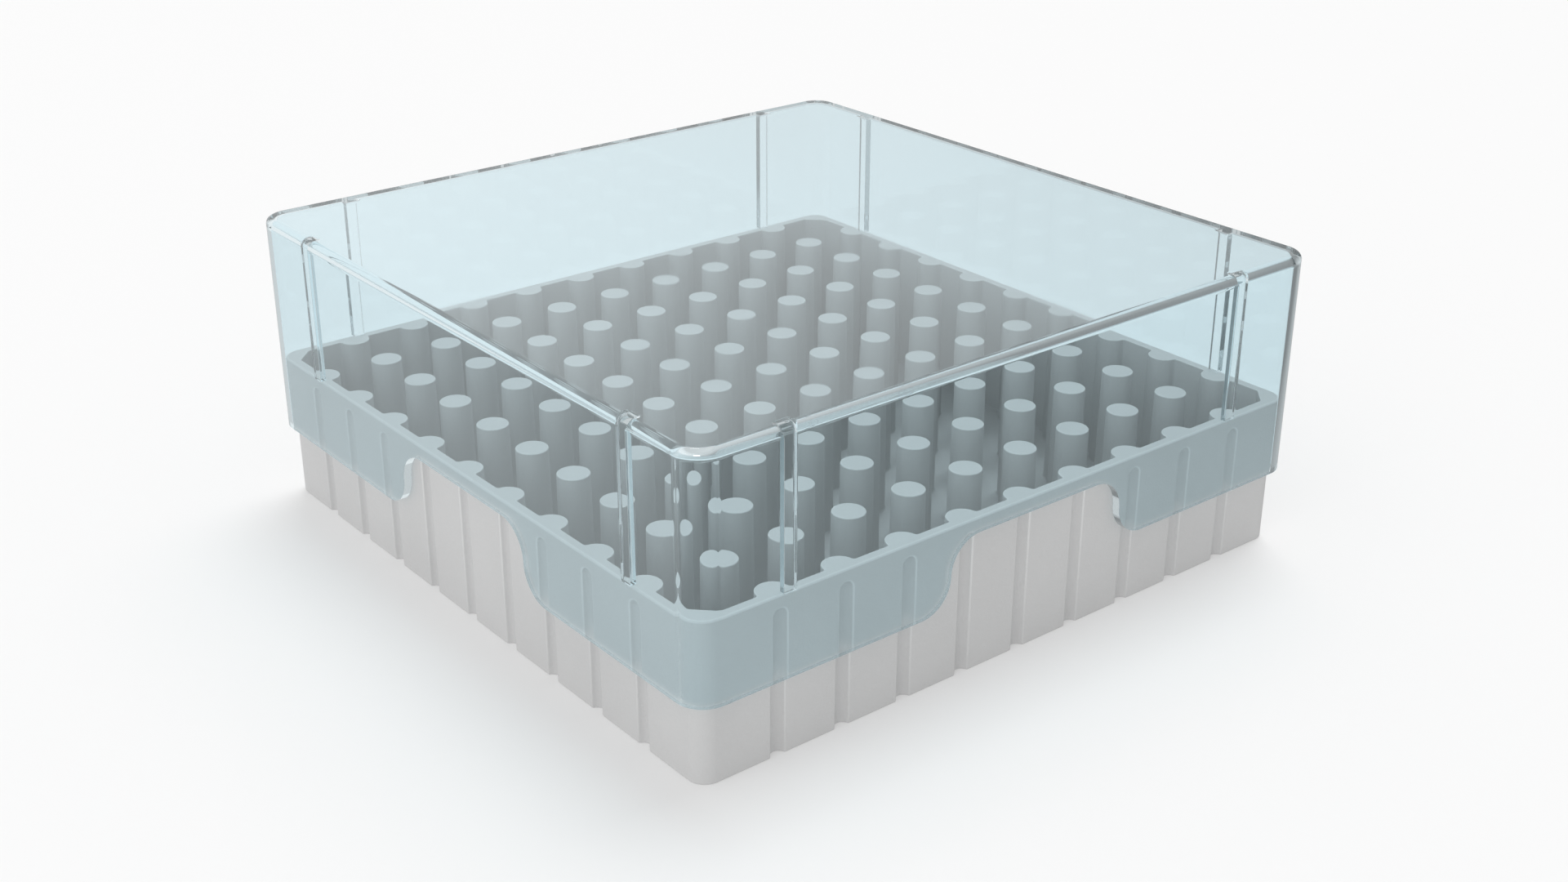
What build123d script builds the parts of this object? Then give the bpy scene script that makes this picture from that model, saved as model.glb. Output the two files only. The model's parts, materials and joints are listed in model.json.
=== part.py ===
from build123d import *
import os
from math import sqrt

# Cryogenic storage box for a grid of 2 ml vials: a grey base whose round posts stand between the
# vials, and a clear lid that lifts straight off.
# Millimetres. Z is up. The origin is the centre of the base's underside, where the box stands.
# Front is -Y, left is -X.
#
# The real box is two mouldings. Each is shaped whole here, and then divided along flat planes into
# simple regions that meet face to face, so that the space for the vials stays open between them.

# Grid
CELLS = 10                   # vials along each side
PITCH = 12.6                 # from one vial, or post, to the next
INSIDE = CELLS * PITCH       # between the base's inner wall faces

# Base
BASE_WALL = 1.8
BASE_FLOOR = 1.8
BASE_HEIGHT = 27.9
BASE_SIDE = INSIDE + 2 * BASE_WALL
BASE_CORNER_R = 3.2          # outer vertical corners
RIM_R = 0.4                  # edge around the top of the outer faces
FOOT_R = 0.3                 # edge around the underside
CORNER_LEG = 3.2             # side of the triangle that fills each inner corner
CORNER_LINE = INSIDE / 2 - CORNER_LEG    # between the regions of the walls and of the corners

# Posts
POST_TOP_R = 2.8
POST_FOOT_R = 3.0
CAP = 2.2                    # solid plastic above a core or a groove
CORE_MOUTH_R = 1.6           # blind core, open at the underside
CORE_TOP_R = 1.35
DRAIN_R = 2.25               # hole in the floor under each vial

# Grooves down the outside of the wall, one behind each half post
GROOVE_MOUTH = 2.7
GROOVE_DEPTH = 1.1
GROOVE_R = (GROOVE_MOUTH**2 / 4 + GROOVE_DEPTH**2) / (2 * GROOVE_DEPTH)

# Lid
LID_GAP = 0.3                # between the base and the lid, all round
LID_WALL = 1.4
LID_PLATE = 1.5
LID_SIDE = BASE_SIDE + 2 * (LID_GAP + LID_WALL)
LID_BOTTOM = 14.1            # height of the skirt's lower edge
LID_TOP = 54.9
LID_CORNER_R = BASE_CORNER_R + LID_GAP + LID_WALL
LID_EDGE_R = 1.2             # outer edge around the top
LID_INNER_EDGE_R = 0.8       # inner edge under the top
PLATE_UNDERSIDE = LID_TOP - LID_PLATE

# Grip cut-outs, one in each side of the skirt, with an S-shaped end on each side
GRIP_TOP = 25.9
GRIP_R = (GRIP_TOP - LID_BOTTOM) / 2
GRIP_HALF_WIDTH = 19.1
GRIP_SHIFT = 1.8             # from the side's middle to the right, seen from outside

# Stop ribs inside the lid, which stand on the base's rim
RIB_OFFSET = 48.8            # from the middle of the wall to the rib's middle
RIB_WIDTH = 2.2
RIB_PROUD = 1.2

REACH = 10.0                 # how far cutting shapes run past what they cut

LINES = [(i - CELLS / 2) * PITCH for i in range(1, CELLS)]
CENTRES = [(i - (CELLS - 1) / 2) * PITCH for i in range(CELLS)]
SIDES = {"front": 0, "right": 90, "back": 180, "left": 270}
CORNERS = {"front_right": 0, "back_right": 90, "back_left": 180, "front_left": 270}
FROM_BELOW = (Align.CENTER, Align.CENTER, Align.MIN)


def block(side, corner_r, bottom, top):
    """Square block with rounded vertical corners."""
    return Pos(0, 0, bottom) * extrude(RectangleRounded(side, side, corner_r), top - bottom)


def slab(x_range, y_range, z_range):
    """Plain box between two limits along each axis."""
    corner = Vector(x_range[0], y_range[0], z_range[0])
    size = Vector(x_range[1], y_range[1], z_range[1]) - corner
    return Pos(corner) * Box(*size, align=Align.MIN)


def around(shape, degrees):
    """The shape turned about the vertical axis through the box's middle."""
    return Rot(0, 0, degrees) * shape


def post(x, y, top_r, foot_r, bottom, top):
    """Round post with a slight draft."""
    return Pos(x, y, bottom) * Cone(foot_r, top_r, top - bottom, align=FROM_BELOW)


def core(x, y):
    """Blind core up the inside of a post, with a ball end under the cap."""
    ball_z = BASE_HEIGHT - CAP - CORE_TOP_R
    shaft = Pos(x, y, 0) * Cone(CORE_MOUTH_R, CORE_TOP_R, ball_z, align=FROM_BELOW)
    return shaft + Pos(x, y, ball_z) * Sphere(CORE_TOP_R)


def groove(x):
    """Groove down the outside of the front wall, open at the bottom, with a ball end at the top."""
    y = -(BASE_SIDE / 2 + GROOVE_R - GROOVE_DEPTH)
    ball_z = BASE_HEIGHT - CAP - sqrt(GROOVE_R**2 - (GROOVE_R - GROOVE_DEPTH) ** 2)
    shaft = Pos(x, y, -REACH) * Cylinder(GROOVE_R, ball_z + REACH, align=FROM_BELOW)
    return shaft + Pos(x, y, ball_z) * Sphere(GROOVE_R)


def base_shell():
    """Floor and walls of the base in one, with the grooves outside and the corners filled inside."""
    shell = block(BASE_SIDE, BASE_CORNER_R, 0, BASE_HEIGHT)
    shell = fillet(shell.faces().sort_by(Axis.Z)[-1].edges(), RIM_R)
    shell = fillet(shell.faces().sort_by(Axis.Z)[0].edges(), FOOT_R)
    opening = chamfer(Rectangle(INSIDE, INSIDE).vertices(), CORNER_LEG)
    shell -= Pos(0, 0, BASE_FLOOR) * extrude(opening, BASE_HEIGHT)
    one_side = [groove(x) for x in LINES]
    return shell - [around(g, turn) for turn in SIDES.values() for g in one_side]


def base_floor(shell):
    """Floor, with a drain hole under each vial and the mouths of the posts' cores."""
    half = BASE_SIDE / 2 + REACH
    floor = shell & slab((-half, half), (-half, half), (0, BASE_FLOOR))
    drains = [Pos(x, y, 0) * Cylinder(DRAIN_R, 2 * REACH) for x in CENTRES for y in CENTRES]
    return floor - drains - [core(x, y) for x in LINES for y in LINES]


def base_wall(shell, turn):
    """Straight stretch of wall between two corners."""
    outside = -(BASE_SIDE / 2 + REACH)
    region = slab((-CORNER_LINE, CORNER_LINE), (outside, -CORNER_LINE), (BASE_FLOOR, BASE_HEIGHT))
    return shell & around(region, turn)


def base_corner(shell, turn):
    """Corner of the wall, round outside and flat across the inside."""
    outside = BASE_SIDE / 2 + REACH
    region = slab((CORNER_LINE, outside), (-outside, -CORNER_LINE), (BASE_FLOOR, BASE_HEIGHT))
    return shell & around(region, turn)


def half_posts(turn):
    """Row of half posts on the inner face of one wall."""
    inner_face = -INSIDE / 2
    row = [post(x, inner_face, POST_TOP_R, POST_FOOT_R, BASE_FLOOR, BASE_HEIGHT) for x in LINES]
    inside = slab((-INSIDE / 2, INSIDE / 2), (inner_face, 0), (0, BASE_HEIGHT))
    return Compound(children=[around(p & inside, turn) for p in row])


def post_row(y):
    """Row of free posts, cored from below."""
    row = [post(x, y, POST_TOP_R, POST_FOOT_R, BASE_FLOOR, BASE_HEIGHT) - core(x, y) for x in LINES]
    return Compound(children=row)


def grip_cutter():
    """Shape of the grip cut-out in the lid's front wall."""
    wide = GRIP_HALF_WIDTH + GRIP_R
    narrow = GRIP_HALF_WIDTH - GRIP_R
    middle = LID_BOTTOM + GRIP_R
    foot = Line((wide, LID_BOTTOM), (-wide, LID_BOTTOM))
    left_low = RadiusArc((-wide, LID_BOTTOM), (-GRIP_HALF_WIDTH, middle), -GRIP_R)
    left_high = RadiusArc((-GRIP_HALF_WIDTH, middle), (-narrow, GRIP_TOP), GRIP_R)
    head = Line((-narrow, GRIP_TOP), (narrow, GRIP_TOP))
    right_high = RadiusArc((narrow, GRIP_TOP), (GRIP_HALF_WIDTH, middle), GRIP_R)
    right_low = RadiusArc((GRIP_HALF_WIDTH, middle), (wide, LID_BOTTOM), -GRIP_R)
    outline = make_face(Plane.XZ * (foot + left_low + left_high + head + right_high + right_low))
    return Pos(GRIP_SHIFT, 0, 0) * extrude(outline, LID_SIDE, dir=(0, -1, 0))


def lid_shell():
    """Top and skirt of the lid in one, without its stop ribs."""
    shell = block(LID_SIDE, LID_CORNER_R, LID_BOTTOM, LID_TOP)
    shell = fillet(shell.faces().sort_by(Axis.Z)[-1].edges(), LID_EDGE_R)
    cavity_side = LID_SIDE - 2 * LID_WALL
    cavity = block(cavity_side, LID_CORNER_R - LID_WALL, LID_BOTTOM, PLATE_UNDERSIDE)
    cavity = fillet(cavity.faces().sort_by(Axis.Z)[-1].edges(), LID_INNER_EDGE_R)
    return shell - cavity - [around(grip_cutter(), turn) for turn in SIDES.values()]


def lid_top(shell):
    """Flat top, with its rounded edge."""
    half = LID_SIDE / 2
    return shell & slab((-half, half), (-half, half), (PLATE_UNDERSIDE, LID_TOP))


def lid_wall(shell, turn):
    """Straight stretch of skirt between two corners, with its grip cut-out."""
    outside = -(LID_SIDE / 2 + REACH)
    z_range = (LID_BOTTOM, PLATE_UNDERSIDE)
    region = slab((-CORNER_LINE, CORNER_LINE), (outside, -CORNER_LINE), z_range)
    return shell & around(region, turn)


def lid_corner(shell, turn):
    """Round corner of the skirt."""
    outside = LID_SIDE / 2 + REACH
    z_range = (LID_BOTTOM, PLATE_UNDERSIDE)
    region = slab((CORNER_LINE, outside), (-outside, -CORNER_LINE), z_range)
    return shell & around(region, turn)


def stop_ribs(shell):
    """Upright ribs inside the skirt, two on each wall, whose lower ends rest on the base's rim."""
    wall_face = -(LID_SIDE / 2 - LID_WALL)
    ribs = []
    for turn in SIDES.values():
        for x in (-RIB_OFFSET, RIB_OFFSET):
            x_range = (x - RIB_WIDTH / 2, x + RIB_WIDTH / 2)
            y_range = (wall_face, wall_face + RIB_PROUD)
            rib = slab(x_range, y_range, (BASE_HEIGHT, PLATE_UNDERSIDE))
            ribs.append(around(rib, turn) - shell)
    return Compound(children=ribs)


def all_nodes():
    """Every region of both mouldings, by name."""
    base = base_shell()
    lid = lid_shell()
    nodes = {"base_floor": base_floor(base)}
    for side, turn in SIDES.items():
        nodes[f"base_wall_{side}"] = base_wall(base, turn)
        nodes[f"half_posts_{side}"] = half_posts(turn)
        nodes[f"lid_wall_{side}"] = lid_wall(lid, turn)
    for corner, turn in CORNERS.items():
        nodes[f"base_corner_{corner}"] = base_corner(base, turn)
        nodes[f"lid_corner_{corner}"] = lid_corner(lid, turn)
    for number, y in enumerate(LINES, start=1):
        nodes[f"post_row_{number}"] = post_row(y)
    nodes["lid_top"] = lid_top(lid)
    nodes["lid_stop_ribs"] = stop_ribs(lid)
    return nodes


os.makedirs("parts", exist_ok=True)
for name, shape in all_nodes().items():
    export_step(shape, f"parts/{name}.step")
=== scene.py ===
import json
from math import atan2, cos, degrees, pi, radians, sin, sqrt, tan

import bmesh
import bpy
import numpy as np
from mathutils import Matrix, Vector
from mathutils.geometry import delaunay_2d_cdt


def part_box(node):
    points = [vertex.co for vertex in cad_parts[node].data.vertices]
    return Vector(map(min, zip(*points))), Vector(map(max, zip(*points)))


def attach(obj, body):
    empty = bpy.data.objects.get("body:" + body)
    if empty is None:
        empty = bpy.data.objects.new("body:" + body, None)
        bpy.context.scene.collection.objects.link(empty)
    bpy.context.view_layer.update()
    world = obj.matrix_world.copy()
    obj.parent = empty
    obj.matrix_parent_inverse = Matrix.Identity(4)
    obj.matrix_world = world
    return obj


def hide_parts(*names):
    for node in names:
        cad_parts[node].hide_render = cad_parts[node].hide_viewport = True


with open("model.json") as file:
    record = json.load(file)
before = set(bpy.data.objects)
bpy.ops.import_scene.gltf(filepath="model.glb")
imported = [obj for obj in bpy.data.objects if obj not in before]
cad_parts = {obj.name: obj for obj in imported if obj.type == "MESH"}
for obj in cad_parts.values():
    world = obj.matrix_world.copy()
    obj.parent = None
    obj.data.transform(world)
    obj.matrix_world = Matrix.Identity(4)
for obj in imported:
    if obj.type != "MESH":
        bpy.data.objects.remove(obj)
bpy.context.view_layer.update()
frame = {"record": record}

# Cryogenic storage box: a grey base with round posts, and a clear lid that lifts off.
# Each of the two mouldings is one closed mesh, built from rings of points and flat sheets between
# them. The meshes are made in millimetres and scaled to metres when they are finished. Front is -Y.

MM = 0.001


def corners(node):
    """Lowest and highest corner of a CAD node, in millimetres."""
    return [[round(v / MM, 4) for v in corner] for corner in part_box(node)]


# Sizes that the frame gives
_, base_high = corners("base_floor")
_, wall_high = corners("base_wall_front")
half_low, half_high = corners("half_posts_front")
_, row_high = corners("post_row_1")
top_low, top_high = corners("lid_top")
skirt_low, _ = corners("lid_wall_front")
ribs_low, ribs_high = corners("lid_stop_ribs")

BASE_HALF = base_high[0]                 # from the middle to the base's outer faces
FLOOR_TOP = base_high[2]
RIM_TOP = wall_high[2]
INNER_HALF = -half_low[1]                # from the middle to the base's inner wall faces
CORNER_LEG = INNER_HALF - wall_high[0]   # side of the triangle that fills each inner corner
POST_FOOT_R = half_high[1] - half_low[1]
CELLS = 10                   # vials along each side
PITCH = (row_high[0] - POST_FOOT_R) * 2 / (CELLS - 2)    # from one vial, or post, to the next
LID_HALF = top_high[0]
LID_TOP = top_high[2]
PLATE_UNDERSIDE = top_low[2]
LID_BOTTOM = skirt_low[2]
LID_INNER_HALF = ribs_high[0]
RIB_BOTTOM = ribs_low[2]

LINES = [(i - CELLS / 2) * PITCH for i in range(1, CELLS)]
CENTRES = [(i - (CELLS - 1) / 2) * PITCH for i in range(CELLS)]

# Base details
BASE_CORNER_R = 3.2          # outer vertical corners
CORNER_LINE = BASE_HALF - BASE_CORNER_R      # where straight faces end and round corners begin
RIM_R = 0.4                  # edge around the top of the outer faces
RIM_INNER_R = 0.18           # inner edge of the rim, and of the half posts
FOOT_R = 0.3                 # edge around the underside
FLOOR_FILLET = 0.3
CORNER_BLEND = 0.8           # where the flat across a corner meets the walls
POST_TOP_R = 2.8
POST_EDGE_R = 0.22
POST_BLEND = 0.45            # where a half post meets its wall
CAP = 2.2                    # solid plastic above a core or a groove
CORE_MOUTH_R = 1.6           # blind core, open at the underside
CORE_TOP_R = 1.35
DRAIN_R = 2.25               # hole in the floor under each vial
HOLE_EDGE_R = 0.15           # edges of those holes
GROOVE_MOUTH = 2.7           # grooves down the outside, one behind each half post
GROOVE_DEPTH = 1.1
GROOVE_R = (GROOVE_MOUTH**2 / 4 + GROOVE_DEPTH**2) / (2 * GROOVE_DEPTH)
GROOVE_EDGE_R = 0.35

# Lid details
LID_EDGE_R = 1.2             # outer edge around the top
LID_INNER_EDGE_R = 0.8       # inner edge under the top
GRIP_TOP = 25.9              # cut-out in each side of the skirt
GRIP_R = (GRIP_TOP - LID_BOTTOM) / 2
GRIP_HALF_WIDTH = 19.1
GRIP_SHIFT = 1.8             # from a side's middle to the right, seen from outside
RIB_OFFSET = 48.8            # stop ribs, from the middle of the wall to the rib's middle
RIB_WIDTH = 2.2
RIB_PROUD = 1.2
RIB_FOOT_R = 0.15            # where a rib's sides meet the wall
RIB_EDGE_R = 0.2             # a rib's upright edges
RIB_END_R = 0.15             # edge around a rib's lower end

# Steps along round stretches
CORNER_STEPS = 16
EDGE_STEPS = 6
LID_STEPS = 12               # finer, because the clear plastic shows every facet
FINE_STEPS = 3
GROOVE_EDGE_STEPS = 4
GROOVE_STEPS = 8
HALF_POST_STEPS = 20
GRIP_STEPS = 20
POST_STEPS = 48
CORE_STEPS = 24
MERGE = 0.001                # points nearer than this are one

# Kinds of face: part of a round surface, flat, a narrow rounded edge, and an end with crisp edges
CURVED, FLAT, EDGE, CRISP = range(4)


# ---------------------------------------------------------------- points and rings

def arc(centre, radius, start, end, steps):
    """Points along an arc with both its ends, angles in degrees."""
    t = np.radians(np.linspace(start, end, steps + 1))
    return np.column_stack([centre[0] + radius * np.cos(t), centre[1] + radius * np.sin(t)])


def at_height(points, z):
    """Flat points at a height."""
    return np.column_stack([points, np.full(len(points), z)])


def turned(points, quarters):
    """Points turned about the vertical axis by quarter turns."""
    c, s = round(cos(quarters * pi / 2)), round(sin(quarters * pi / 2))
    x, y, z = np.asarray(points, float).T
    return np.column_stack([c * x - s * y, s * x + c * y, z])


def quarter_round(radius, steps):
    """Pairs along a quarter round: how far it has come in, and along, from 0 to the radius."""
    t = np.linspace(0, pi / 2, steps + 1)
    return list(zip(radius * (1 - np.cos(t)), radius * np.sin(t)))


def corner_arc(half, z):
    """Front right corner of a ring whose sides are that far from the middle."""
    return at_height(arc((CORNER_LINE, -CORNER_LINE), half - CORNER_LINE, -90, 0, CORNER_STEPS), z)


def ring(front, half, z):
    """Ring around the box, from its front side's points and with round corners."""
    quarter = np.vstack([front, corner_arc(half, z)[1:-1]])
    return np.vstack([turned(quarter, q) for q in range(4)])


def straight(half, z):
    """Ends of a ring's straight stretch on the front side."""
    return np.array([(-CORNER_LINE, -half, z), (CORNER_LINE, -half, z)])


def square_ring(half, z):
    """Plain ring around the box, with sides that far from the middle."""
    return ring(straight(half, z), half, z)


def circle(x, y, radius, z, steps):
    return at_height(arc((x, y), radius, 0, 360, steps)[:-1], z)


# ---------------------------------------------------------------- meshes

class Skin:
    """A closed surface under construction, in millimetres. Points that coincide become one at the end."""

    def __init__(self):
        self.points = []
        self.faces = []
        self.kinds = []

    def add(self, points):
        """Places points, and gives their numbers."""
        start = len(self.points)
        self.points.extend(map(tuple, points))
        return range(start, len(self.points))

    def strips(self, rings, closed=True, kind=CURVED):
        """Quads between each ring and the next."""
        rows = [self.add(r) for r in rings]
        for a, b in zip(rows, rows[1:]):
            for k in range(len(a) if closed else len(a) - 1):
                m = (k + 1) % len(a)
                self.faces.append((a[k], a[m], b[m], b[k]))
                self.kinds.append(kind)

    def plate(self, outline):
        """One flat face."""
        self.faces.append(tuple(self.add(outline)))
        self.kinds.append(FLAT)

    def sheet(self, outline, holes):
        """Flat level sheet with holes, cut into triangles."""
        z = outline[0][2]
        flat, loops = [], []
        for loop in [outline, *holes]:
            loops.append(list(range(len(flat), len(flat) + len(loop))))
            flat += [Vector((p[0], p[1])) for p in loop]
        placed, _, triangles, _, _, inside = delaunay_2d_cdt(flat, [], loops, 1, MERGE / 10)
        rows = self.add([(p.x, p.y, z) for p in placed])
        for triangle, loops_around in zip(triangles, inside):
            if loops_around == [0]:
                self.faces.append(tuple(rows[k] for k in triangle))
                self.kinds.append(FLAT)

    def finished(self, name):
        """The surface as an object in metres. Flat and crisp faces shade flat, and all others round."""
        mesh = bpy.data.meshes.new(name)
        mesh.from_pydata(self.points, [], self.faces)
        mesh.attributes.new("kind", "INT", "FACE").data.foreach_set("value", self.kinds)
        made = bmesh.new()
        made.from_mesh(mesh)
        bmesh.ops.remove_doubles(made, verts=made.verts, dist=MERGE)
        bmesh.ops.recalc_face_normals(made, faces=made.faces)
        kind = made.faces.layers.int["kind"]
        made.verts.index_update()
        normals, wear_and_highlight = [], []
        for v in made.verts:
            soft = [f for f in v.link_faces if f[kind] != CRISP]
            flats = [f for f in soft if f[kind] == FLAT]
            total = sum((f.normal * f.calc_area() for f in flats or soft), Vector())
            normals.append(total.normalized())
            # Points with only narrow rounded edges around them: worn smoother, and painted paler as a
            # highlight
            wear_and_highlight.append(float(all(f[kind] == EDGE for f in v.link_faces)))
        open_edges = sum(not e.is_manifold for e in made.edges)
        if open_edges:
            raise ValueError(f"{name} is not closed: {open_edges} edges")
        shading = [f.normal.copy() if f[kind] == CRISP else normals[v.index]
                   for f in made.faces for v in f.verts]
        made.to_mesh(mesh)
        made.free()
        mesh.attributes.remove(mesh.attributes["kind"])
        mesh.attributes.new("edge_wear_and_highlight", "FLOAT", "POINT").data.foreach_set("value", wear_and_highlight)
        mesh.transform(Matrix.Scale(MM, 4))
        mesh.shade_smooth()
        mesh.normals_split_custom_set(shading)
        piece = bpy.data.objects.new(name, mesh)
        bpy.context.scene.collection.objects.link(piece)
        return piece


# ---------------------------------------------------------------- base

def groove_section():
    """Half a groove's section, from the wall's face to its bottom: (across, deep, and the way out)."""
    centre = GROOVE_DEPTH - GROOVE_R
    reach = sqrt((GROOVE_R + GROOVE_EDGE_R) ** 2 - (GROOVE_EDGE_R - centre) ** 2)
    turn = atan2(reach, GROOVE_EDGE_R - centre)
    section = []
    for t in np.linspace(0, turn, GROOVE_EDGE_STEPS + 1):
        out = (-sin(t), -cos(t))
        section.append((reach + GROOVE_EDGE_R * out[0], GROOVE_EDGE_R * (1 + out[1]), *out))
    for t in np.linspace(turn, 0, GROOVE_STEPS + 1)[1:]:
        out = (-sin(t), -cos(t))
        section.append((-GROOVE_R * out[0], centre - GROOVE_R * out[1], *out))
    return section


GROOVE = groove_section()


def groove_rings(x):
    """Nested U shapes that make the groove behind the half post at x, on the front wall."""
    top = RIM_TOP - CAP - GROOVE_MOUTH / 2
    rings = []
    for across, deep, _, _ in GROOVE:
        bow = arc((x, top), across, 180, 0, CORNER_STEPS)
        points = [(x - across, FOOT_R), *bow, (x + across, FOOT_R)]
        rings.append([(u, deep - BASE_HALF, z) for u, z in points])
    return rings


def foot_ring(inset, z):
    """Outline of the base near its underside, with the grooves' notches."""
    front = [(-CORNER_LINE, inset - BASE_HALF, z)]
    for x in LINES:
        left = [(across - out * inset, deep - in_ * inset) for across, deep, out, in_ in GROOVE]
        front += [(x - u, v - BASE_HALF, z) for u, v in left]
        front += [(x + u, v - BASE_HALF, z) for u, v in left[-2::-1]]
    front.append((CORNER_LINE, inset - BASE_HALF, z))
    return ring(front, BASE_HALF - inset, z)


def cavity_ring(offset, post_r, z):
    """Outline of the space inside the walls, moved into the plastic by an offset."""
    blend_y = POST_BLEND - INNER_HALF
    reach = sqrt((post_r + POST_BLEND) ** 2 - POST_BLEND**2)
    turn = degrees(atan2(POST_BLEND, reach))
    quarter = []
    for x in LINES:
        quarter += [
            arc((x - reach, blend_y), POST_BLEND + offset, -90, -turn, FINE_STEPS),
            arc((x, -INNER_HALF), post_r - offset, 180 - turn, turn, HALF_POST_STEPS)[1:-1],
            arc((x + reach, blend_y), POST_BLEND + offset, turn - 180, -90, FINE_STEPS),
        ]
    across = INNER_HALF - CORNER_LEG - CORNER_BLEND * tan(radians(22.5))
    inward = INNER_HALF - CORNER_BLEND
    quarter += [
        arc((across, -inward), CORNER_BLEND + offset, -90, -45, FINE_STEPS),
        arc((inward, -across), CORNER_BLEND + offset, -45, 0, FINE_STEPS),
    ]
    flat = at_height(np.vstack(quarter), z)
    return np.vstack([turned(flat, q) for q in range(4)])


def lathe(skin, x, y, profile, steps, kind=CURVED):
    """Round surface about an upright line, from pairs of radius and height."""
    skin.strips([circle(x, y, r, z, steps) for r, z in profile], kind=kind)


def add_base_outside(skin):
    """Outer walls with their grooves, the round corners, the rim and the foot."""
    wall_top = RIM_TOP - RIM_R
    for q in range(4):
        outline = [(-CORNER_LINE, -BASE_HALF, FOOT_R)]
        for x in LINES:
            rings = groove_rings(x)
            skin.strips([turned(r, q) for r in rings[:GROOVE_EDGE_STEPS + 1]], closed=False, kind=EDGE)
            skin.strips([turned(r, q) for r in rings[GROOVE_EDGE_STEPS:]], closed=False)
            outline += rings[0]
        outline += [(x, -BASE_HALF, z) for x, z in (
            (CORNER_LINE, FOOT_R), (CORNER_LINE, wall_top), (-CORNER_LINE, wall_top))]
        skin.plate(turned(outline, q))
        columns = [turned(corner_arc(BASE_HALF, z), q) for z in (FOOT_R, wall_top)]
        skin.strips(columns, closed=False)
    skin.strips([foot_ring(a, FOOT_R - b) for a, b in quarter_round(FOOT_R, FINE_STEPS)])
    rim = [square_ring(BASE_HALF - a, wall_top + b) for a, b in quarter_round(RIM_R, EDGE_STEPS)]
    skin.strips(rim, kind=EDGE)
    return rim[-1]


def add_cavity(skin):
    """Inner walls with their half posts, from the rim's inner edge down to the floor."""
    edge = RIM_TOP - RIM_INNER_R
    rim = [cavity_ring(a, POST_TOP_R, edge + b) for a, b in quarter_round(RIM_INNER_R, FINE_STEPS)]
    fillet_top = FLOOR_TOP + FLOOR_FILLET
    foot = [cavity_ring(-a, POST_FOOT_R, fillet_top - b)
            for a, b in quarter_round(FLOOR_FILLET, FINE_STEPS)]
    skin.strips(rim, kind=EDGE)
    skin.strips([rim[0], foot[0]])
    skin.strips(foot)
    return rim[-1], foot[-1]


def add_posts(skin):
    """Free posts, each cored from below. Gives the loops of their feet and of their cores' mouths."""
    fillet_top = FLOOR_TOP + FLOOR_FILLET
    edge = RIM_TOP - POST_EDGE_R
    foot = [(POST_FOOT_R + a, fillet_top - b) for a, b in quarter_round(FLOOR_FILLET, FINE_STEPS)]
    cap = [(POST_TOP_R - a, edge + b) for a, b in quarter_round(POST_EDGE_R, FINE_STEPS)]
    ball_z = RIM_TOP - CAP - CORE_TOP_R
    mouth = [(CORE_MOUTH_R + a, HOLE_EDGE_R - b) for a, b in quarter_round(HOLE_EDGE_R, FINE_STEPS)]
    ball = [(CORE_TOP_R - a, ball_z + b) for a, b in quarter_round(CORE_TOP_R, EDGE_STEPS)]
    feet, mouths = [], []
    for x in LINES:
        for y in LINES:
            lathe(skin, x, y, foot, POST_STEPS)
            lathe(skin, x, y, [foot[0], cap[0]], POST_STEPS)
            lathe(skin, x, y, cap, POST_STEPS, kind=EDGE)
            skin.plate(circle(x, y, *cap[-1], POST_STEPS))
            lathe(skin, x, y, mouth, CORE_STEPS, kind=EDGE)
            lathe(skin, x, y, [mouth[0], *ball], CORE_STEPS)
            feet.append(circle(x, y, *foot[-1], POST_STEPS))
            mouths.append(circle(x, y, *mouth[-1], CORE_STEPS))
    return feet, mouths


def add_drains(skin):
    """Hole in the floor under each vial. Gives the loops of their upper and lower edges."""
    edge = quarter_round(HOLE_EDGE_R, FINE_STEPS)
    upper = [(DRAIN_R + a, FLOOR_TOP - HOLE_EDGE_R + b) for a, b in edge]
    lower = [(DRAIN_R + a, HOLE_EDGE_R - b) for a, b in edge]
    tops, bottoms = [], []
    for x in CENTRES:
        for y in CENTRES:
            lathe(skin, x, y, upper, POST_STEPS, kind=EDGE)
            lathe(skin, x, y, [upper[0], lower[0]], POST_STEPS)
            lathe(skin, x, y, lower, POST_STEPS, kind=EDGE)
            tops.append(circle(x, y, *upper[-1], POST_STEPS))
            bottoms.append(circle(x, y, *lower[-1], POST_STEPS))
    return tops, bottoms


def base_moulding():
    """The grey base as one closed skin."""
    skin = Skin()
    rim_outer = add_base_outside(skin)
    rim_inner, floor_edge = add_cavity(skin)
    feet, mouths = add_posts(skin)
    tops, bottoms = add_drains(skin)
    skin.sheet(rim_outer, [rim_inner])
    skin.sheet(floor_edge, feet + tops)
    skin.sheet(foot_ring(FOOT_R, 0), mouths + bottoms)
    return skin.finished("base_moulding")


# ---------------------------------------------------------------- lid

def skirt_line():
    """Lower edge of the front skirt as (x, z) from left to right."""
    outer, inner = GRIP_HALF_WIDTH + GRIP_R, GRIP_HALF_WIDTH - GRIP_R
    middle = LID_BOTTOM + GRIP_R
    half = np.vstack([
        [(-CORNER_LINE, LID_BOTTOM)],
        arc((-outer, middle), GRIP_R, -90, 0, GRIP_STEPS),
        arc((-inner, middle), GRIP_R, 180, 90, GRIP_STEPS)[1:],
    ])
    line = np.vstack([half, half[::-1] * (-1, 1)])
    line[1:-1, 0] += GRIP_SHIFT
    return line


def skirt_front(depth):
    """That edge as points, so deep into the wall from its outer face."""
    return [(x, depth - LID_HALF, z) for x, z in skirt_line()]


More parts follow.
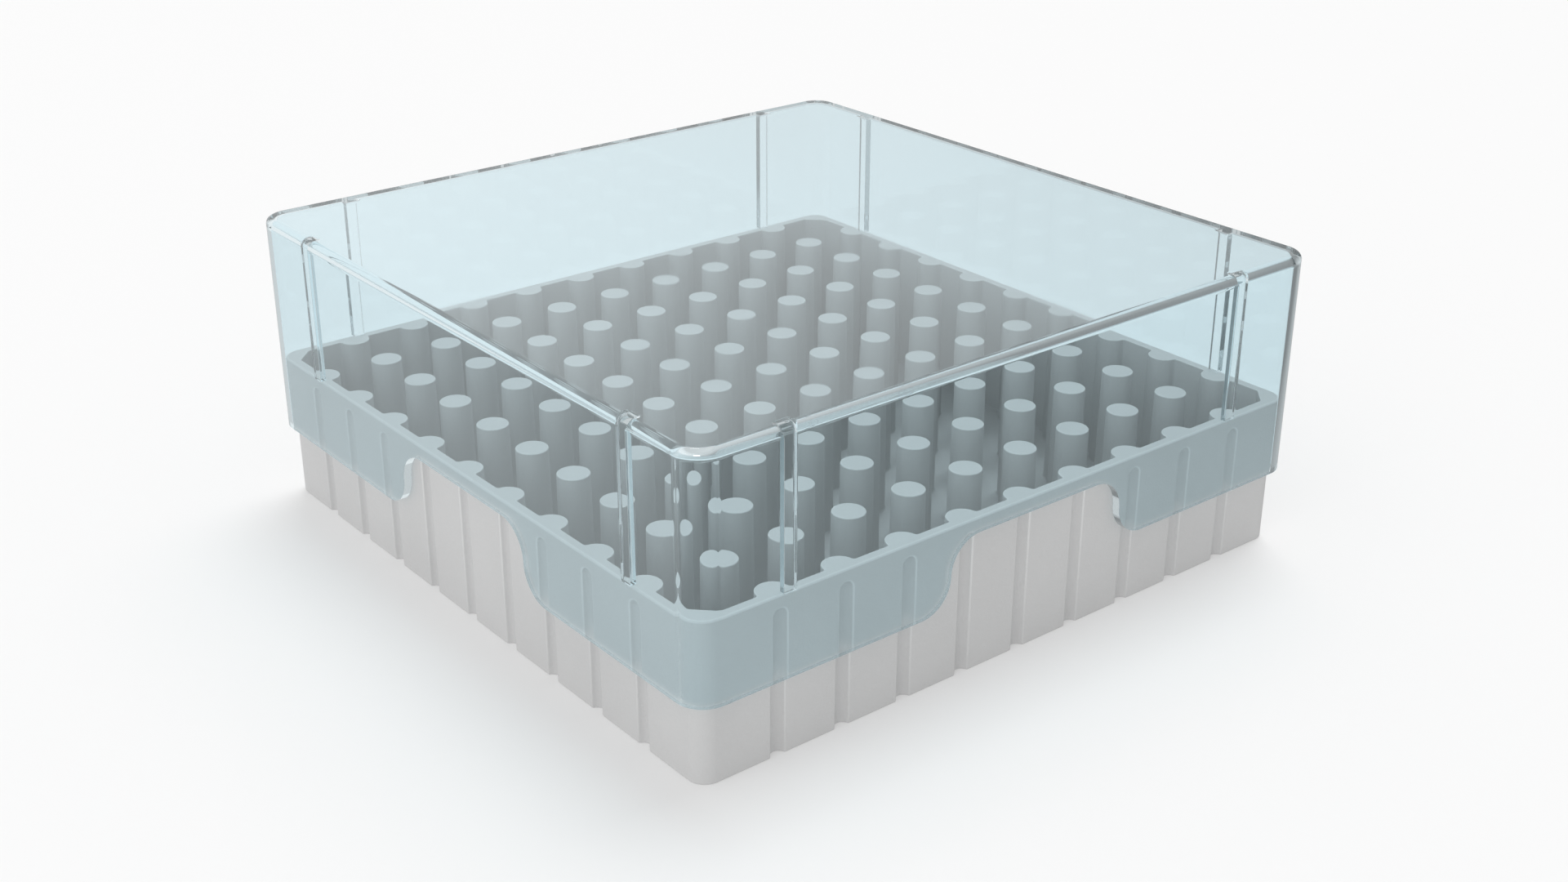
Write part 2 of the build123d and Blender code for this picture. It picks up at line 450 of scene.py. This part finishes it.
def rib_outline(x, offset):
    """Plan of a stop rib on the front wall, grown by an offset: round the rib from the wall and back."""
    foot = max(RIB_FOOT_R - offset, 0)
    edge = RIB_EDGE_R + offset
    reach = RIB_WIDTH / 2 + offset
    wall = offset - LID_INNER_HALF
    half = np.vstack([
        arc((-reach - foot, wall + foot), foot, -90, 0, LID_STEPS),
        arc((edge - reach, wall + RIB_PROUD - edge), edge, 180, 90, LID_STEPS),
    ])
    outline = np.vstack([half, half[::-1] * (-1, 1)]) + (x, 0)
    outline[:, 1] = np.maximum(outline[:, 1], -LID_INNER_HALF)
    return outline


def lid_inner_ring(offset, z):
    """Ring around the inner faces and the ribs, moved into the space by an offset."""
    half = LID_INNER_HALF - offset
    left, right = straight(half, z)
    ribs = [at_height(rib_outline(x, offset), z) for x in (-RIB_OFFSET, RIB_OFFSET)]
    return ring(np.vstack([[left], *ribs, [right]]), half, z)


def add_rib(skin, x, quarters, top):
    """One stop rib. Gives the notch that it leaves in the wall's inner face, from right to left."""
    rings = [at_height(rib_outline(x, -a), RIB_BOTTOM + RIB_END_R - b)
             for a, b in quarter_round(RIB_END_R, LID_STEPS)]
    upper = at_height(rib_outline(x, 0), top)
    skin.strips([turned(r, quarters) for r in (upper, rings[0])], closed=False)
    skin.strips([turned(r, quarters) for r in rings], closed=False, kind=EDGE)
    last = rings[-1]
    on_wall = [k for k, p in enumerate(last) if p[1] < MERGE - LID_INNER_HALF]
    left = [k for k in on_wall if k < len(last) / 2]
    right = [k for k in on_wall if k > len(last) / 2]
    skin.plate(turned(last[left[-1]:right[0] + 1], quarters))
    rights = [r[-1] for r in (upper, *rings)] + [last[k] for k in right[-2::-1]]
    lefts = [last[k] for k in left[:0:-1]] + [r[0] for r in (*rings[::-1], upper)]
    return rights + lefts


def add_lid_walls(skin):
    """Outer and inner faces of the four sides, the corners between them, and the ribs."""
    outer_top = LID_TOP - LID_EDGE_R
    inner_top = PLATE_UNDERSIDE - LID_INNER_EDGE_R
    thick = LID_HALF - LID_INNER_HALF
    for q in range(4):
        outer = skirt_front(0) + list(straight(LID_HALF, outer_top)[::-1])
        skin.plate(turned(outer, q))
        notches = [add_rib(skin, x, q, inner_top) for x in (RIB_OFFSET, -RIB_OFFSET)]
        left, right = straight(LID_INNER_HALF, inner_top)
        inner = skirt_front(thick) + [right] + notches[0] + notches[1] + [left]
        skin.plate(turned(inner, q))
        for half, top in ((LID_HALF, outer_top), (LID_INNER_HALF, inner_top)):
            skin.strips([turned(corner_arc(half, z), q) for z in (LID_BOTTOM, top)], closed=False)


def add_skirt_edge(skin):
    """Foot of the skirt all round. Its edges are crisp, as where two halves of a mould close."""
    thick = LID_HALF - LID_INNER_HALF
    skin.strips([ring(skirt_front(a), LID_HALF - a, LID_BOTTOM) for a in (0, thick)], kind=CRISP)


def lid_moulding():
    """The clear lid as one closed skin."""
    skin = Skin()
    add_lid_walls(skin)
    add_skirt_edge(skin)
    outer_top = LID_TOP - LID_EDGE_R
    inner_top = PLATE_UNDERSIDE - LID_INNER_EDGE_R
    top = [square_ring(LID_HALF - a, outer_top + b) for a, b in quarter_round(LID_EDGE_R, LID_STEPS)]
    under = [lid_inner_ring(a, inner_top + b) for a, b in quarter_round(LID_INNER_EDGE_R, LID_STEPS)]
    skin.strips(top, kind=EDGE)
    skin.strips(under)
    skin.plate(top[-1])
    skin.plate(under[-1])
    return skin.finished("lid_moulding")


# ---------------------------------------------------------------- materials

def grey(value):
    return (value, value, value, 1)


PLASTIC, CLOUDED, PAINTED_EDGE_HIGHLIGHT = grey(0.590), grey(0.660), grey(0.760)    # the base, its faint clouds, and the painted highlight along its rounded edges
LID_TINT = (0.846, 0.948, 0.981, 1)          # what a wall of the lid lets through
LID_SHADE = (0.865, 0.908, 0.920, 1)         # the same for soft light, at each surface, with what it reflects
MOST_REFLECTIONS = 2         # a ray reflected more often than this inside the lid goes straight on
BRIGHT_SIDE = radians(125)   # direction of the studio's bright side, from +X towards +Y
FLOOR_GLOW = 0.26
PAINTED_FLOOR_REFLECTION = (0.25, 0.66)    # painted reflection: how bright reflections see the floor, on the dark and the bright side
PAINTED_PIPED_LIGHT = (0.175, 0.21)      # painted light: light piped down the lid's walls sees the floor painted bright up to here, in metres


def new_material(name):
    """A material with its nodes, its links and its main shader."""
    material = bpy.data.materials.new(name)
    material.use_nodes = True
    nodes = material.node_tree.nodes
    return material, nodes, material.node_tree.links, nodes["Principled BSDF"]


def noise(nodes, links, scale, detail):
    """Noise over the object's own coordinates, scale per metre."""
    place = nodes.new("ShaderNodeTexCoord")
    texture = nodes.new("ShaderNodeTexNoise")
    texture.inputs["Scale"].default_value = scale
    texture.inputs["Detail"].default_value = detail
    links.new(place.outputs["Object"], texture.inputs["Vector"])
    return texture.outputs["Fac"]


def ranged(nodes, links, value, low, high, start=0.0, end=1.0):
    """A value from one range laid on another."""
    node = nodes.new("ShaderNodeMapRange")
    node.inputs["From Min"].default_value = start
    node.inputs["From Max"].default_value = end
    node.inputs["To Min"].default_value = low
    node.inputs["To Max"].default_value = high
    links.new(value, node.inputs["Value"])
    return node.outputs["Result"]


def calculated(nodes, links, operation, first, second):
    """Result of a sum on two values, each an output or a number."""
    node = nodes.new("ShaderNodeMath")
    node.operation = operation
    for value, socket in zip((first, second), node.inputs):
        if isinstance(value, (int, float)):
            socket.default_value = value
        else:
            links.new(value, socket)
    return node.outputs["Value"]


def bump(nodes, links, height, distance, strength):
    """Normal of a surface with a fine relief, distance in metres."""
    node = nodes.new("ShaderNodeBump")
    node.inputs["Distance"].default_value = distance
    node.inputs["Strength"].default_value = strength
    links.new(height, node.inputs["Height"])
    return node.outputs["Normal"]


def satin_plastic():
    """Satin light grey plastic with a fine spark-eroded grain. Its rounded edges are a little smoother, as
    worn, and paler, which is a painted highlight.
    """
    material, nodes, links, shader = new_material("satin_plastic")
    grain = noise(nodes, links, 2600, 2)
    cloud = noise(nodes, links, 45, 3)
    # Rounded edges: smoother, as worn, and paler, as a painted highlight
    wear_and_highlight_mask = nodes.new("ShaderNodeAttribute")
    wear_and_highlight_mask.attribute_name = "edge_wear_and_highlight"
    clouded = nodes.new("ShaderNodeMix")
    clouded.data_type = "RGBA"
    clouded.inputs["A"].default_value = PLASTIC
    clouded.inputs["B"].default_value = CLOUDED
    links.new(ranged(nodes, links, cloud, 0.0, 0.5, 0.3, 0.7), clouded.inputs["Factor"])
    # Painted highlight: the rounded edges are mixed towards a paler grey
    paler = nodes.new("ShaderNodeMix")
    paler.data_type = "RGBA"
    paler.inputs["B"].default_value = PAINTED_EDGE_HIGHLIGHT
    links.new(calculated(nodes, links, "MULTIPLY", wear_and_highlight_mask.outputs["Fac"], 0.7), paler.inputs["Factor"])
    links.new(clouded.outputs["Result"], paler.inputs["A"])
    links.new(paler.outputs["Result"], shader.inputs["Base Color"])
    rough = ranged(nodes, links, grain, 0.38, 0.56, 0.3, 0.7)
    smoother = calculated(nodes, links, "MULTIPLY", wear_and_highlight_mask.outputs["Fac"], 0.1)
    links.new(calculated(nodes, links, "SUBTRACT", rough, smoother), shader.inputs["Roughness"])
    links.new(bump(nodes, links, grain, 0.00008, 0.7), shader.inputs["Normal"])
    shader.inputs["IOR"].default_value = 1.49
    return material


def clear_plastic():
    """Clear polycarbonate with a faint blue tint. Soft light goes straight through to what is under it."""
    material, nodes, links, shader = new_material("clear_plastic")
    shader.inputs["Base Color"].default_value = LID_TINT
    shader.inputs["Transmission Weight"].default_value = 1
    shader.inputs["IOR"].default_value = 1.5
    haze = noise(nodes, links, 60, 3)
    links.new(ranged(nodes, links, haze, 0.0, 0.03, 0.35, 0.75), shader.inputs["Roughness"])
    ripple = noise(nodes, links, 35, 2)
    links.new(bump(nodes, links, ripple, 0.00003, 0.3), shader.inputs["Normal"])
    clear = nodes.new("ShaderNodeBsdfTransparent")
    clear.inputs["Color"].default_value = LID_SHADE
    path = nodes.new("ShaderNodeLightPath")
    deep = calculated(nodes, links, "GREATER_THAN", path.outputs["Glossy Depth"], MOST_REFLECTIONS)
    soft = calculated(nodes, links, "MAXIMUM", path.outputs["Is Shadow Ray"], path.outputs["Is Diffuse Ray"])
    mix = nodes.new("ShaderNodeMixShader")
    links.new(calculated(nodes, links, "MAXIMUM", deep, soft), mix.inputs["Fac"])
    links.new(shader.outputs["BSDF"], mix.inputs[1])
    links.new(clear.outputs["BSDF"], mix.inputs[2])
    links.new(mix.outputs["Shader"], nodes["Material Output"].inputs["Surface"])
    return material


def toward_bright_side(nodes, links, place, low, high):
    """1 on the studio's bright side, behind the object and to its left, falling to 0 on the dark side."""
    along = nodes.new("ShaderNodeVectorMath")
    along.operation = "DOT_PRODUCT"
    along.inputs[1].default_value = (cos(BRIGHT_SIDE), sin(BRIGHT_SIDE), 0)
    links.new(place, along.inputs[0])
    return ranged(nodes, links, along.outputs["Value"], 0, 1, low, high)


def floor_material():
    """White matt floor that glows a little, as a light table does. Reflections see a painted reflection on it
    instead: darker on its dark side, brighter on its bright side, and bright near the box for light piped
    down the lid's walls.
    """
    material, nodes, links, shader = new_material("floor_white")
    grain = noise(nodes, links, 25, 2)
    links.new(ranged(nodes, links, grain, 0.75, 0.85), shader.inputs["Roughness"])
    shader.inputs["Specular IOR Level"].default_value = 0.2
    shader.inputs["Base Color"].default_value = grey(0.62)
    shader.inputs["Emission Color"].default_value = grey(1)
    shader.inputs["Emission Strength"].default_value = FLOOR_GLOW
    # Painted reflection: an emission that reflection rays see in place of the floor, dark on one side, bright
    # on the other, and bright near the box after two reflections or more
    painted_reflection = nodes.new("ShaderNodeEmission")
    place = nodes.new("ShaderNodeTexCoord").outputs["Object"]
    bright = toward_bright_side(nodes, links, place, -0.15, -0.04)
    path = nodes.new("ShaderNodeLightPath")
    away = nodes.new("ShaderNodeVectorMath")
    away.operation = "LENGTH"
    links.new(place, away.inputs[0])
    near = ranged(nodes, links, away.outputs["Value"], 1, 0, *PAINTED_PIPED_LIGHT)
    piped = calculated(nodes, links, "GREATER_THAN", path.outputs["Glossy Depth"], MOST_REFLECTIONS - 0.5)
    bright = calculated(nodes, links, "MAXIMUM", bright, calculated(nodes, links, "MULTIPLY", near, piped))
    links.new(ranged(nodes, links, bright, *PAINTED_FLOOR_REFLECTION), painted_reflection.inputs["Strength"])
    mirrored = calculated(nodes, links, "GREATER_THAN", path.outputs["Glossy Depth"], 0.5)
    direct = calculated(nodes, links, "SUBTRACT", 1, path.outputs["Is Diffuse Ray"])
    mix = nodes.new("ShaderNodeMixShader")
    links.new(calculated(nodes, links, "MULTIPLY", mirrored, direct), mix.inputs["Fac"])
    links.new(shader.outputs["BSDF"], mix.inputs[1])
    links.new(painted_reflection.outputs["Emission"], mix.inputs[2])
    links.new(mix.outputs["Shader"], nodes["Material Output"].inputs["Surface"])
    return material


# ---------------------------------------------------------------- pieces

def add_moulding(piece, body, material):
    """The moulding rides on its body, and stands for all of that body's CAD nodes."""
    piece.data.materials.append(material)
    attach(piece, body)
    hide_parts(*frame["record"]["behaviour"]["bodies"][body])


add_moulding(base_moulding(), "base", satin_plastic())
add_moulding(lid_moulding(), "lid", clear_plastic())


# ---------------------------------------------------------------- stage, lights and camera

def add_floor(size=6.0):
    """Level floor that reaches that far from the box, in metres."""
    made = bmesh.new()
    bmesh.ops.create_grid(made, x_segments=1, y_segments=1, size=size)
    mesh = bpy.data.meshes.new("floor")
    made.to_mesh(mesh)
    made.free()
    floor = bpy.data.objects.new("floor", mesh)
    bpy.context.scene.collection.objects.link(floor)
    mesh.materials.append(floor_material())


def add_soft_sun(name, azimuth, elevation, spread, strength, mirrored=False):
    """Wide, even light from a direction: azimuth counts from +X towards +Y. Angles in degrees."""
    data = bpy.data.lights.new(name, "SUN")
    data.angle = radians(spread)
    data.energy = strength
    light = bpy.data.objects.new(name, data)
    light.visible_glossy = light.visible_transmission = mirrored
    a, e = radians(azimuth), radians(elevation)
    towards = Vector((cos(a) * cos(e), sin(a) * cos(e), sin(e)))
    light.rotation_euler = towards.to_track_quat("Z", "Y").to_euler()
    bpy.context.scene.collection.objects.link(light)


def add_world(light, bright_side, dark_side):
    """Even soft light from all round, which the clear plastic mirrors as a bright and a dark side."""
    world = bpy.data.worlds.new("studio")
    world.use_nodes = True
    world.cycles.sampling_method = "NONE"
    nodes, links = world.node_tree.nodes, world.node_tree.links
    background = nodes["Background"]
    background.inputs["Color"].default_value = grey(1)
    direction = nodes.new("ShaderNodeTexCoord").outputs["Generated"]
    bright = toward_bright_side(nodes, links, direction, -0.3, 0.5)
    mix = nodes.new("ShaderNodeMix")
    mix.inputs["B"].default_value = light
    links.new(nodes.new("ShaderNodeLightPath").outputs["Is Diffuse Ray"], mix.inputs["Factor"])
    links.new(ranged(nodes, links, bright, dark_side, bright_side), mix.inputs["A"])
    links.new(mix.outputs["Result"], background.inputs["Strength"])
    bpy.context.scene.world = world


def add_camera(place, yaw, pitch, roll, lens):
    """Camera at a place in metres. Yaw counts from +X towards +Y, and pitch is up. Angles in degrees."""
    yaw, pitch, roll = radians(yaw), radians(pitch), radians(roll)
    ahead = Vector((cos(pitch) * cos(yaw), cos(pitch) * sin(yaw), sin(pitch)))
    level = Vector((sin(yaw), -cos(yaw), 0))
    over = level.cross(ahead)
    right = level * cos(roll) + over * sin(roll)
    up = over * cos(roll) - level * sin(roll)
    data = bpy.data.cameras.new("camera")
    data.lens = lens
    data.sensor_width = 36
    data.clip_start = 0.01
    camera = bpy.data.objects.new("camera", data)
    turn = Matrix((right, up, -ahead)).transposed().to_4x4()
    camera.matrix_world = Matrix.Translation(Vector(place)) @ turn
    bpy.context.scene.collection.objects.link(camera)
    bpy.context.scene.camera = camera


add_floor()
add_world(light=0.62, bright_side=0.95, dark_side=0.3)
add_soft_sun("key", azimuth=30, elevation=58, spread=40, strength=1.42)
add_soft_sun("fill", azimuth=195, elevation=30, spread=70, strength=0.77)
add_soft_sun("glint", azimuth=60, elevation=58, spread=8, strength=0.08, mirrored=True)
add_camera(place=(-0.2040, -0.2566, 0.1649), yaw=51.11, pitch=-24.67, roll=0.08, lens=44.66)
bpy.context.scene.view_settings.view_transform = "Standard"
